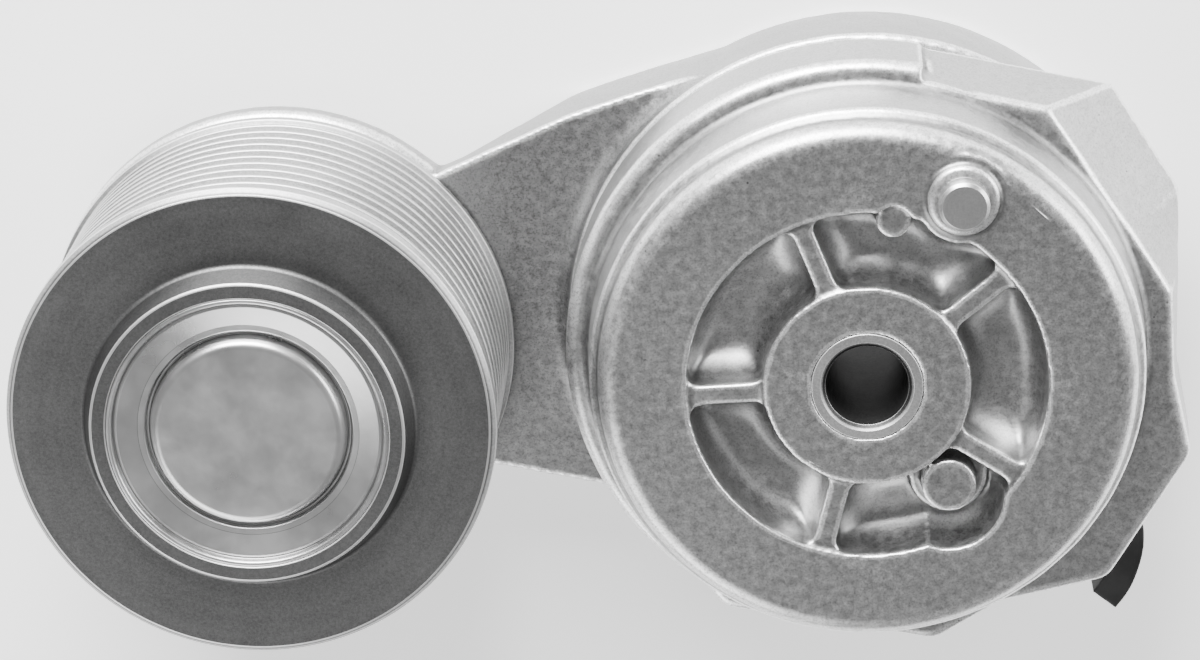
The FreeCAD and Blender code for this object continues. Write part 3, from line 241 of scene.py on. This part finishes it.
def turned_metal(name, centre, dark, light, roughness, rings, speckle, bright_rim=None):
    """Turned metal: fine rings about an axis along Z at a centre in millimetres, with a grain and
    painted highlights on its edges.

    A bright rim is given as the radius that it starts outside and the level it starts behind."""
    finish, tree, shader, place = new_finish(name, 1.0, roughness)
    about = add(tree, "ShaderNodeMapping", {
        "Vector": place, "Location": (-centre[0] * MM, -centre[1] * MM, 0.0)}).outputs["Vector"]
    parts = add(tree, "ShaderNodeSeparateXYZ", {"Vector": about}).outputs
    flat = add(tree, "ShaderNodeCombineXYZ", {"X": parts["X"], "Y": parts["Y"]}).outputs["Vector"]
    radius = add(tree, "ShaderNodeVectorMath", {0: flat}, operation="LENGTH").outputs["Value"]
    lane = add(tree, "ShaderNodeCombineXYZ", {"X": radius, "Y": parts["Z"]}).outputs["Vector"]
    marks = noise(tree, lane, rings, 3.0, 0.7)
    grain = noise(tree, place, 2400.0, 3.0, 0.8)
    clouds = noise(tree, place, 55.0, 4.0)
    tone = maths(tree, "ADD", maths(tree, "MULTIPLY", marks, 0.2),
                 maths(tree, "MULTIPLY", clouds, 0.15))
    tone = maths(tree, "ADD", tone, maths(tree, "MULTIPLY", grain, 0.65))
    skin = blend_colours(tree, stretch(tree, tone, 0.32, 0.68, 0.0, 1.0), grey(dark), grey(light))
    if bright_rim:
        outside = stretch(tree, radius, bright_rim[0] * MM, (bright_rim[0] + 0.2) * MM, 0.0, 1.0)
        behind = stretch(tree, parts["Z"], bright_rim[1] * MM, (bright_rim[1] - 0.2) * MM, 0.0, 1.0)
        rim_skin = blend_colours(tree, stretch(tree, tone, 0.40, 0.60, 0.0, 1.0),
                                 grey(0.34), grey(0.5))
        skin = blend_colours(tree, maths(tree, "MULTIPLY", outside, behind), skin, rim_skin)
    # Convex edges and groove crests painted light: a painted highlight.
    skin = blend_colours(tree, stretch(tree, bend(tree), 0.35, 1.2, 0.0, 0.7), skin, grey(0.85))
    tree.links.new(skin, shader.inputs["Base Color"])
    tree.links.new(stretch(tree, clouds, 0.3, 0.7, roughness - 0.05, roughness + 0.06),
                   shader.inputs["Roughness"])
    bumps(tree, shader, [(marks, 0.25, 0.00003), (grain, speckle, 0.00004)])
    return finish


def plated_metal(name, level, roughness):
    """Zinc-plated pressed steel: satin, with faint clouds, a fine orange-peel skin and painted shade
    in its hollows.
    """
    finish, tree, shader, place = new_finish(name, 1.0, roughness)
    clouds = noise(tree, place, 90.0, 4.0, 0.6)
    skin = blend_colours(tree, stretch(tree, clouds, 0.35, 0.65, 0.0, 1.0),
                         grey(level * 0.86), grey(level))
    edge = bend(tree)
    # Hollows painted dark: painted shade where the skin bends inwards.
    skin = blend_colours(tree, stretch(tree, edge, -0.25, -0.9, 0.0, 0.75), skin,
                         grey(level * 0.25))
    tree.links.new(skin, shader.inputs["Base Color"])
    tree.links.new(stretch(tree, clouds, 0.3, 0.7, roughness - 0.05, roughness + 0.08),
                   shader.inputs["Roughness"])
    bumps(tree, shader, [(noise(tree, place, 700.0, 3.0), 0.22, 0.00005),
                         (noise(tree, place, 2600.0, 2.0), 0.18, 0.00002)])
    return finish


def black_rubber(name, level):
    """Moulded rubber: nearly black, matt, with a fine grain and a dusty bloom."""
    finish, tree, shader, place = new_finish(name, 0.0, 0.6)
    bloom = noise(tree, place, 120.0, 5.0, 0.65)
    skin = blend_colours(tree, stretch(tree, bloom, 0.4, 0.75, 0.0, 1.0),
                         grey(level), grey(level * 3.0))
    tree.links.new(skin, shader.inputs["Base Color"])
    tree.links.new(stretch(tree, bloom, 0.3, 0.7, 0.48, 0.68), shader.inputs["Roughness"])
    bumps(tree, shader, [(noise(tree, place, 900.0, 3.0), 0.3, 0.00006)])
    return finish


def moulded_nylon(name, level, warm):
    """Moulded plastic: an even colour with faint flow clouds and a fine matt texture."""
    finish, tree, shader, place = new_finish(name, 0.0, 0.42)
    flow = noise(tree, place, 60.0, 3.0)
    skin = blend_colours(tree, flow, grey(level * 0.85, warm), grey(level * 1.1, warm))
    tree.links.new(skin, shader.inputs["Base Color"])
    bumps(tree, shader, [(noise(tree, place, 1300.0, 2.0), 0.2, 0.00004)])
    return finish


# ---------------------------------------------------------------- meshes

def soften(corners, rounds, steps=5):
    """A closed outline with its corners rounded.

    Each corner becomes an arc that touches the two straight runs that meet there. Its centre
    is on the line that halves their angle. One more point on each run, as far from the arc
    as the arc's own steps, keeps the flat beside it flat. A round of 0 keeps the corner.
    """
    corners = np.asarray(corners, float)
    before = np.roll(corners, 1, axis=0)
    after = np.roll(corners, -1, axis=0)
    points = []
    for corner, last, following, radius in zip(corners, before, after, rounds):
        towards_last = (last - corner) / np.linalg.norm(last - corner)
        towards_next = (following - corner) / np.linalg.norm(following - corner)
        half = math.acos(np.clip(towards_last @ towards_next, -1, 1)) / 2
        if radius == 0 or half > math.radians(89):
            points.append(corner[None])
            continue
        room = 0.42 * min(np.linalg.norm(last - corner), np.linalg.norm(following - corner))
        touch = min(radius / math.tan(half), room)
        radius = touch * math.tan(half)
        halving = towards_last + towards_next
        centre = corner + halving / np.linalg.norm(halving) * radius / math.sin(half)
        start = corner + towards_last * touch - centre
        stop = corner + towards_next * touch - centre
        whole = math.pi - 2 * half
        share = np.linspace(0, 1, steps + 1)[:, None]
        arc = centre + (np.sin((1 - share) * whole) * start
                        + np.sin(share * whole) * stop) / math.sin(whole)
        ease = min(radius * whole / steps, 0.1 * touch)
        points.append((corner + towards_last * (touch + ease))[None])
        points.append(arc)
        points.append((corner + towards_next * (touch + ease))[None])
    return np.concatenate(points)


def grid_faces(rows, columns):
    """Four-cornered faces of a grid that closes on itself both ways."""
    row, column = np.meshgrid(np.arange(rows), np.arange(columns), indexing="ij")
    row_up = (row + 1) % rows
    column_up = (column + 1) % columns
    corners = [row * columns + column, row_up * columns + column,
               row_up * columns + column_up, row * columns + column_up]
    return np.stack([c.ravel() for c in corners], axis=1)


def note_bend(mesh, passes):
    """Stores on each point how sharply the skin bends there, per millimetre.

    Along an edge of length d, the neighbour lies below the point's tangent plane by h, and
    the skin bends by 2 h / d^2. A point's value is the mean over its edges, and then the
    mean with its neighbours' values, a few times over."""
    count, edges = len(mesh.vertices), len(mesh.edges)
    points, normals = np.empty(count * 3), np.empty(count * 3)
    ends = np.empty(edges * 2, int)
    mesh.vertices.foreach_get("co", points)
    mesh.vertex_normals.foreach_get("vector", normals)
    mesh.edges.foreach_get("vertices", ends)
    points, normals = points.reshape(-1, 3) / MM, normals.reshape(-1, 3)
    first, last = ends.reshape(-1, 2).T
    way = points[last] - points[first]
    square = np.maximum((way ** 2).sum(1), 1e-9)
    degree = np.maximum(np.bincount(ends, minlength=count), 1)
    value = (np.bincount(first, -2 * (normals[first] * way).sum(1) / square, count)
             + np.bincount(last, 2 * (normals[last] * way).sum(1) / square, count)) / degree
    for _ in range(passes):
        near = (np.bincount(first, value[last], count)
                + np.bincount(last, value[first], count)) / degree
        value = (value + near) / 2
    layer = mesh.attributes.new("bend", "FLOAT", "POINT")
    layer.data.foreach_set("value", value)


def new_piece(name, points, faces, finish, body, slot, *nodes):
    """Puts millimetre points and faces into a mesh, closes poles, turns it outwards."""
    mesh = bpy.data.meshes.new(name)
    mesh.from_pydata((points * MM).tolist(), [], [tuple(face) for face in faces])
    made = bmesh.new()
    made.from_mesh(mesh)
    bmesh.ops.remove_doubles(made, verts=made.verts, dist=1e-7)
    bmesh.ops.recalc_face_normals(made, faces=made.faces)
    if made.calc_volume(signed=True) < 0:
        bmesh.ops.reverse_faces(made, faces=made.faces)
    made.to_mesh(mesh)
    made.free()
    mesh.shade_smooth()
    note_bend(mesh, 0)
    mesh.materials.append(finish)
    piece = bpy.data.objects.new(name, mesh)
    bpy.context.collection.objects.link(piece)
    if nodes:
        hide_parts(*nodes)
    if body:
        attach(piece, body)
    return piece


def lathe(name, outline, centre, finish, body, slot, *nodes, turns=320):
    """Surface of revolution: at angle a, an outline point (r, z) lies at
    (centre x + r cos a, centre y + r sin a, z)."""
    angle = np.linspace(0, 2 * math.pi, turns, endpoint=False)
    radius, level = outline[:, :1], outline[:, 1:]
    points = np.stack([centre[0] + radius * np.cos(angle),
                       centre[1] + radius * np.sin(angle),
                       level + 0 * angle], axis=-1).reshape(-1, 3)
    return new_piece(name, points, grid_faces(len(outline), turns), finish, body, slot, *nodes)


def uneven(points, depth, wave):
    """How far a cast skin stands proud of its drawing, in millimetres.

    It is the sum of four products of sines, each turned and shifted, so that it has no
    visible repeat."""
    height = np.zeros(len(points))
    for turn, shift, share in ((0.3, 0.0, 1.0), (1.4, 2.1, 0.8), (2.2, 4.4, 0.6), (2.9, 1.2, 0.5)):
        along = points[:, 0] * math.cos(turn) + points[:, 1] * math.sin(turn)
        across = points[:, 1] * math.cos(turn) - points[:, 0] * math.sin(turn)
        height += share * (np.sin(along * 2 * math.pi / wave / (1 + share) + shift)
                           * np.sin((across + points[:, 2]) * 2 * math.pi / wave + 2 * shift))
    return depth * height / 2


def cast_copy(node, name, cell, passes, triangles, depth, finish, body, fills=()):
    """A casting: a copy of the CAD piece with its sharp edges worn soft.

    The copy's loose triangles are merged, any fills join it, and the whole is laid out again
    on an even grid of small cells, which keeps only its outer skin.
    Each point then moves half way to the mean of its neighbours, a few times over, and last
    it moves along its normal by the skin's unevenness.
    """
    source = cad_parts[node]
    mesh = source.data.copy()
    made = bmesh.new()
    made.from_mesh(mesh)
    bmesh.ops.remove_doubles(made, verts=made.verts, dist=2e-6)
    for points, faces in fills:
        corners = [made.verts.new(point * MM) for point in points]
        for face in faces:
            made.faces.new([corners[k] for k in face])
    bmesh.ops.recalc_face_normals(made, faces=made.faces)
    made.to_mesh(mesh)
    made.free()
    mesh.materials.clear()
    work = bpy.data.objects.new(name + "_work", mesh)
    bpy.context.collection.objects.link(work)
    even = work.modifiers.new("even_cells", "REMESH")
    even.mode = "VOXEL"
    even.voxel_size = cell * MM
    smooth = work.modifiers.new("worn_edges", "SMOOTH")
    smooth.factor = 0.5
    smooth.iterations = passes
    view = bpy.context.evaluated_depsgraph_get()
    count = len(work.evaluated_get(view).data.polygons) * 2
    thin = work.modifiers.new("thinned", "DECIMATE")
    thin.ratio = min(1.0, triangles / count)
    view = bpy.context.evaluated_depsgraph_get()
    finished = bpy.data.meshes.new_from_object(work.evaluated_get(view))
    bpy.data.objects.remove(work)
    finished.name = name
    count = len(finished.vertices)
    points = np.empty(count * 3)
    normals = np.empty(count * 3)
    finished.vertices.foreach_get("co", points)
    finished.vertex_normals.foreach_get("vector", normals)
    points, normals = points.reshape(-1, 3), normals.reshape(-1, 3)
    points += normals * (uneven(points / MM, depth, 9.0) * MM)[:, None]
    low, high = span(node)
    points = np.clip(points, low * MM, high * MM)
    finished.vertices.foreach_set("co", points.ravel())
    finished.update()
    finished.shade_smooth()
    note_bend(finished, 2)
    finished.materials.clear()
    finished.materials.append(finish)
    piece = bpy.data.objects.new(name, finished)
    bpy.context.collection.objects.link(piece)
    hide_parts(node)
    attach(piece, body)
    return piece


# ---------------------------------------------------------------- the finishes themselves

pivot = np.zeros(2)
pulley_centre = middle("pulley_body")
housing_skin = cast_metal("cast_aluminium_housing", 0.36, 0.58, 0.37, 0.35)
arm_skin = cast_metal("cast_aluminium_arm", 0.28, 0.48, 0.40, 0.5)
pulley_skin = turned_metal("turned_steel_pulley", pulley_centre, 0.09, 0.18, 0.46, 500.0, 0.7,
                           (34.6, 6.2))
tube_skin = turned_metal("turned_steel_tube", pivot, 0.03, 0.08, 0.5, 1200.0, 0.4, (6.9, 5.0))
pin_skin = turned_metal("turned_steel_pin", middle("locating_pin"), 0.5, 0.68, 0.34, 1200.0, 0.2)
bearing_skin = turned_metal("ground_bearing_steel", pulley_centre, 0.55, 0.7, 0.2, 1800.0, 0.1)
cap_skin = plated_metal("zinc_plated_cap", 0.74, 0.30)
plate_skin = plated_metal("zinc_plated_plate", 0.6, 0.36)
spring_skin = plated_metal("oiled_spring_steel", 0.16, 0.38)
dark_skin = plated_metal("blackened_steel", 0.1, 0.4)
rubber_skin = black_rubber("black_rubber", 0.010)
seal_skin = black_rubber("seal_rubber", 0.02)
nylon_skin = moulded_nylon("glass_filled_nylon", 0.07, 0.02)

node_finishes = {
    "thrust_washer": nylon_skin, "end_plate": plate_skin, "front_spring_seat": nylon_skin,
    "damping_ring": nylon_skin, "front_bushing": nylon_skin, "back_bushing": nylon_skin,
    "spring_sleeve": nylon_skin, "back_spring_seat": nylon_skin, "pulley_bolt": dark_skin,
    "bolt_washer": plate_skin, "bearing_sleeve": bearing_skin, "bearing_inner_race": bearing_skin,
    "bearing_outer_race": bearing_skin, "dust_shield": plate_skin, "snap_ring": spring_skin,
    "front_bearing_seal": seal_skin, "back_bearing_seal": seal_skin, "front_cage": plate_skin,
    "back_cage": plate_skin, "front_balls": bearing_skin, "back_balls": bearing_skin}
for node, finish in node_finishes.items():
    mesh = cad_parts[node].data
    mesh.materials.clear()
    mesh.materials.append(finish)


# ---------------------------------------------------------------- castings and rubber

def ray_at(angle):
    """Unit vector at an angle in degrees from +X."""
    return np.array([math.cos(math.radians(angle)), math.sin(math.radians(angle))])


def pocket_fill():
    """One ring of metal that turns the flat pocket floors into soft scoops.

    At (r, a) about the pivot, d is the distance to the nearest wall: the hub, the outer wall
    with its bulge, the metal under the pin, the pillar, or a rib, blended as -k log(sum(exp(-d / k))).
    The level is floor + h (1 - sqrt(1 - (1 - d / w)^2)), held at floor + h inside the walls
    and at the floor further than w from them. The ring is closed below the floor."""
    floor = -POCKET_DEPTH
    height, reach, blend = 6.0, 4.6, 0.8
    inside, outside, below = 15.6, 31.2, -9.6
    rows, columns = 64, 720
    rib_share, behind, deepest = 0.75, 99.0, -3.0
    radius, turn = np.meshgrid(np.linspace(inside, outside, rows),
                               np.linspace(0, 2 * math.pi, columns, endpoint=False),
                               indexing="ij")
    x, y = radius * np.cos(turn), radius * np.sin(turn)
    bulge = BULGE_PITCH * ray_at(BULGE_ANGLE)
    pillar = PILLAR_PITCH * ray_at(PILLAR_ANGLE)
    pillar_foot = 3.2
    pin = middle("locating_pin")
    walls = [radius - HUB_RADIUS,
             np.maximum(POCKET_RADIUS - radius,
                        BULGE_RADIUS - np.hypot(x - bulge[0], y - bulge[1])),
             np.hypot(x - pin[0], y - pin[1]) - PIN_COLUMN_RADIUS,
             np.hypot(x - pillar[0], y - pillar[1]) - pillar_foot]
    for k in range(RIB_COUNT):
        ray = ray_at(RIB_ANGLE + 360 / RIB_COUNT * k)
        ahead = x * ray[0] + y * ray[1] > 0
        off = np.abs(y * ray[0] - x * ray[1]) - RIB_WIDTH / 2
        walls.append(np.where(ahead, off * rib_share, behind))
    near = -blend * np.log(sum(np.exp(-np.maximum(wall, deepest) / blend) for wall in walls))
    share = 1 - np.clip(near / reach, 0, 1)
    top = floor + height * (1 - np.sqrt(1 - share ** 2))
    points = np.concatenate([np.stack([x, y, top], axis=-1),
                             np.stack([x, y, 0 * x + below], axis=-1)[::-1]])
    return points.reshape(-1, 3), grid_faces(2 * rows, columns).tolist()


cast_copy("base_housing", "housing_casting", 0.38, 6, 190000, 0.035, housing_skin,
          "base", [pocket_fill()])
cast_copy("tensioner_arm", "arm_casting", 0.5, 4, 150000, 0.05, arm_skin,
          "arm")
cast_copy("stop_bumper", "bumper_block", 0.3, 4, 20000, 0.05, rubber_skin,
          "base")


# ---------------------------------------------------------------- turned and pressed pieces

def make_pulley():
    """The grooved pulley: rim with ten grooves between two flanges, web, hub and cap seat."""
    low, high = span("pulley_body")
    race_low, race_high = span("bearing_outer_race")
    crest = width("pulley_body")
    rib = crest - FLANGE_CREST
    front = high[2] - NOSE_HEIGHT
    first = front - FRONT_FLANGE - BELT_PITCH / 2 + CREST_FLAT / 2
    mouth = (BELT_PITCH - CREST_FLAT) / 2
    root = mouth - GROOVE_DEPTH * math.tan(math.radians(GROOVE_FLANK))
    last = first - BELT_PITCH * (GROOVE_COUNT - 0.5)
    rim_inside = rib - GROOVE_DEPTH - RIM_WALL
    lip_back = race_low[2] - LIP_THICKNESS
    snap_front = span("snap_ring")[1][2]
    seat = width("bearing_outer_race")
    groove = width("snap_ring")
    cap = width("dust_cap")
    # each corner is a radius, a level and its rounding
    outline = [
        (LIP_RADIUS, lip_back, 0.3), (NOSE_FOOT, lip_back, 0.6),
        (NOSE_FOOT, front - WEB_WIDTH, 1.6), (rim_inside, front - WEB_WIDTH, 1.6),
        (rim_inside, low[2], 0.4), (crest, low[2], 0.35),
        (crest, last - FLANGE_SLOPE, 0.25), (rib, last, 0.2)]
    for k in reversed(range(GROOVE_COUNT)):
        centre = first - BELT_PITCH * k
        outline += [(rib, centre - mouth, 0.22), (rib - GROOVE_DEPTH, centre - root, 0.25),
                    (rib - GROOVE_DEPTH, centre + root, 0.25), (rib, centre + mouth, 0.22)]
    outline += [
        (crest, front - FRONT_FLANGE + FLANGE_SLOPE, 0.3), (crest, front - FLANGE_BEVEL, 0.4),
        (crest - FLANGE_BEVEL, front, 0.4), (NOSE_FOOT, front, 0.7), (NOSE_TIP, high[2], 0.45),
        (cap, high[2], 0.2), (cap, snap_front + CAP_SEAT, 0.3),
        (seat, snap_front + CAP_SEAT, 0.2), (seat, snap_front, 0.1), (groove, snap_front, 0.1),
        (groove, race_high[2], 0.1), (seat, race_high[2], 0.1), (seat, race_low[2], 0.2),
        (LIP_RADIUS, race_low[2], 0.2)]
    outline = np.array(outline)
    lathe("grooved_pulley", soften(outline[:, :2], outline[:, 2], steps=2), pulley_centre,
          pulley_skin, "pulley", "dark_steel", "pulley_body", turns=300)


def make_dust_cap():
    """The pressed cap: skirt, rolled rim, a step, a groove and a raised centre."""
    low, high = span("dust_cap")
    top, rim, sheet = high[2], width("dust_cap"), CAP_SHEET
    outline = np.array([
        (0.0, top - 0.35, 0), (9.0, top - 0.4, 0), (14.9, top - 0.5, 2.2),
        (15.5, top - 3.0, 0.5), (16.1, top - 3.0, 0.25), (16.3, top - 1.9, 0.25),
        (17.3, top - 1.8, 0.7), (20.5, top - 1.0, 0.4), (21.1, top - 1.2, 0.3),
        (21.3, top, 0.3), (rim, top, 0.35), (rim, low[2], 0.15), (rim - 0.8, low[2], 0.15),
        (rim - 0.85, top - 2.1, 0.4), (17.0, top - 2.2 - sheet, 0.3),
        (14.8, top - 3.0 - sheet, 0.4), (13.8, top - 1.2 - sheet, 0.6), (0.0, top - 0.4 - sheet, 0)])
    lathe("pressed_dust_cap", soften(outline[:, :2], outline[:, 2]), pulley_centre,
          cap_skin, "pulley", "pressed_steel", "dust_cap", turns=256)


def make_pivot_tube():
    """The pivot tube, with its chamfered bore and its flared back end."""
    low, high = span("pivot_tube")
    flare = width("pivot_tube")
    mouth = BORE_RADIUS + MOUTH_CHAMFER
    outline = np.array([
        (BORE_RADIUS, low[2] + MOUTH_CHAMFER, 0.2), (mouth, low[2], 0.2), (flare, low[2], 0.4),
        (flare, low[2] + FLARE_HEIGHT, 0.3), (TUBE_RADIUS, low[2] + FLARE_HEIGHT, 0.2),
        (TUBE_RADIUS, high[2], 0.15), (mouth, high[2], 0.12),
        (BORE_RADIUS, high[2] - MOUTH_CHAMFER, 0.15)])
    lathe("steel_pivot_tube", soften(outline[:, :2], outline[:, 2]), pivot, tube_skin,
          "base", "turned_steel", "pivot_tube", turns=160)


def make_locating_pin():
    """The pressed-in locating pin, with a bevelled tip."""
    low, high = span("locating_pin")
    radius = width("locating_pin")
    outline = np.array([
        (0.0, high[2], 0), (radius - PIN_BEVEL, high[2], 0.15),
        (radius, high[2] - PIN_BEVEL, 0.2), (radius, low[2] + PIN_SHANK_LENGTH, 0.1),
        (PIN_SHANK_RADIUS, low[2] + PIN_SHANK_LENGTH, 0.1), (PIN_SHANK_RADIUS, low[2], 0.2),
        (0.0, low[2], 0)])
    lathe("pressed_locating_pin", soften(outline[:, :2], outline[:, 2]),
          middle("locating_pin"), pin_skin, "base", "turned_steel", "locating_pin", turns=96)


def make_dust_seal():
    """The thin rubber ring between housing and arm."""
    low, high = span("dust_seal")
    outer = width("dust_seal")
    inner = outer - SEAL_WIDTH
    outline = np.array([(inner, low[2], 0.2), (outer, low[2], 0.35),
                        (outer, high[2], 0.35), (inner, high[2], 0.2)])
    lathe("rubber_dust_seal", soften(outline[:, :2], outline[:, 2]), pivot, seal_skin,
          "base", "black_rubber", "dust_seal", turns=256)


def make_spring():
    """Round wire on a helix: at turn t the wire's centre is (R cos t, R sin t, z0 + p t), and
    each ring of the wire lies across the helix."""
    low, high = span("torsion_spring")
    wire = WIRE_RADIUS
    radius = width("torsion_spring") - wire
    rings, around = 360, 20
    angle = np.linspace(0, SPRING_TURNS * 2 * math.pi, rings)
    level = np.linspace(low[2] + wire, high[2] - wire, rings)
    bend = np.linspace(0, 2 * math.pi, around, endpoint=False)
    across = radius + wire * np.cos(bend)[None, :]
    points = np.stack([across * np.cos(angle)[:, None], across * np.sin(angle)[:, None],
                       level[:, None] + wire * np.sin(bend)[None, :]], axis=-1)
    faces = grid_faces(rings, around)[:(rings - 1) * around]
    points = points.reshape(-1, 3)
    spring = close_spring_ends(points, faces, around)
    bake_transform(spring)


def close_spring_ends(points, faces, around):
    """Closes both cut ends of the wire with a fan of triangles about its centre."""
    count = len(points)
    ends = np.stack([points[:around].mean(0), points[-around:].mean(0)])
    ring = np.arange(around)
    first = np.stack([ring, np.roll(ring, -1), np.full(around, count)], axis=1)
    last = np.stack([ring + count - around, np.roll(ring, -1) + count - around,
                     np.full(around, count + 1)], axis=1)
    points = np.concatenate([points, ends])
    all_faces = faces.tolist() + first.tolist() + last.tolist()
    return new_piece("torsion_spring_wire", points, all_faces, spring_skin, None,
                     "spring_steel", "torsion_spring")


make_pulley()
make_dust_cap()
make_pivot_tube()
make_locating_pin()
make_dust_seal()
make_spring()


# ---------------------------------------------------------------- floor, light and camera

def make_floor():
    """A pale sheet under the tensioner, wide enough to fill every view."""
    level = cad_box[0][2] / MM - 0.3
    side = np.array([-2500.0, 2500.0])
    x, y = np.meshgrid(side, side, indexing="ij")
    points = np.stack([x.ravel(), y.ravel(), np.full(4, level)], axis=1) * MM
    mesh = bpy.data.meshes.new("floor")
    mesh.from_pydata(points.tolist(), [], [(0, 2, 3, 1)])
    finish, tree, shader, place = new_finish("pale_paper", 0.0, 0.8)
    tone = noise(tree, place, 3.0)
    tree.links.new(blend_colours(tree, tone, grey(0.91), grey(0.95)), shader.inputs["Base Color"])
    shader.inputs["Emission Color"].default_value = (1, 1, 1, 1)
    shader.inputs["Emission Strength"].default_value = 0.8
    mesh.materials.append(finish)
    floor = bpy.data.objects.new("floor", mesh)
    bpy.context.collection.objects.link(floor)


def softbox(name, place, target, size, power):
    """A square lamp at a place, turned to a target, both in metres."""
    lamp = bpy.data.lights.new(name, "AREA")
    lamp.shape = "SQUARE"
    lamp.size = size
    lamp.energy = power
    made = bpy.data.objects.new(name, lamp)
    made.location = place
    made.rotation_euler = (Vector(target) - Vector(place)).to_track_quat("-Z", "Y").to_euler()
    bpy.context.collection.objects.link(made)


def make_light():
    """A grey room with large soft lamps low around the object."""
    world = bpy.data.worlds.new("studio")
    bpy.context.scene.world = world
    world.use_nodes = True
    tree = world.node_tree
    sky = tree.nodes["Background"]
    sky.inputs["Color"].default_value = (0.9, 0.9, 0.9, 1)
    sky.inputs["Strength"].default_value = 0.34
    focus = (-0.04, 0.0, 0.0)
    softbox("key", (-0.20, 0.95, 0.42), focus, 0.7, 50.0)
    softbox("side", (0.80, 0.25, 0.22), focus, 0.5, 7.0)
    softbox("low", (-0.45, -0.65, 0.45), focus, 0.6, 5.0)


def make_camera():
    """The camera, as its place and its three turns from a view straight down."""
    lens = bpy.data.cameras.new("camera")
    lens.lens = 120.0
    lens.sensor_width = 36.0
    lens.clip_end = 10.0
    camera = bpy.data.objects.new("camera", lens)
    turn = (Matrix.Rotation(math.radians(18.84), 3, "X")
            @ Matrix.Rotation(math.radians(-2.85), 3, "Y")
            @ Matrix.Rotation(math.radians(3.44), 3, "Z"))
    camera.matrix_world = (Matrix.Translation((0.0002, 0.2097, 0.5873))
                           @ turn.transposed().to_4x4())
    bpy.context.collection.objects.link(camera)
    bpy.context.scene.camera = camera


make_floor()
make_light()
make_camera()
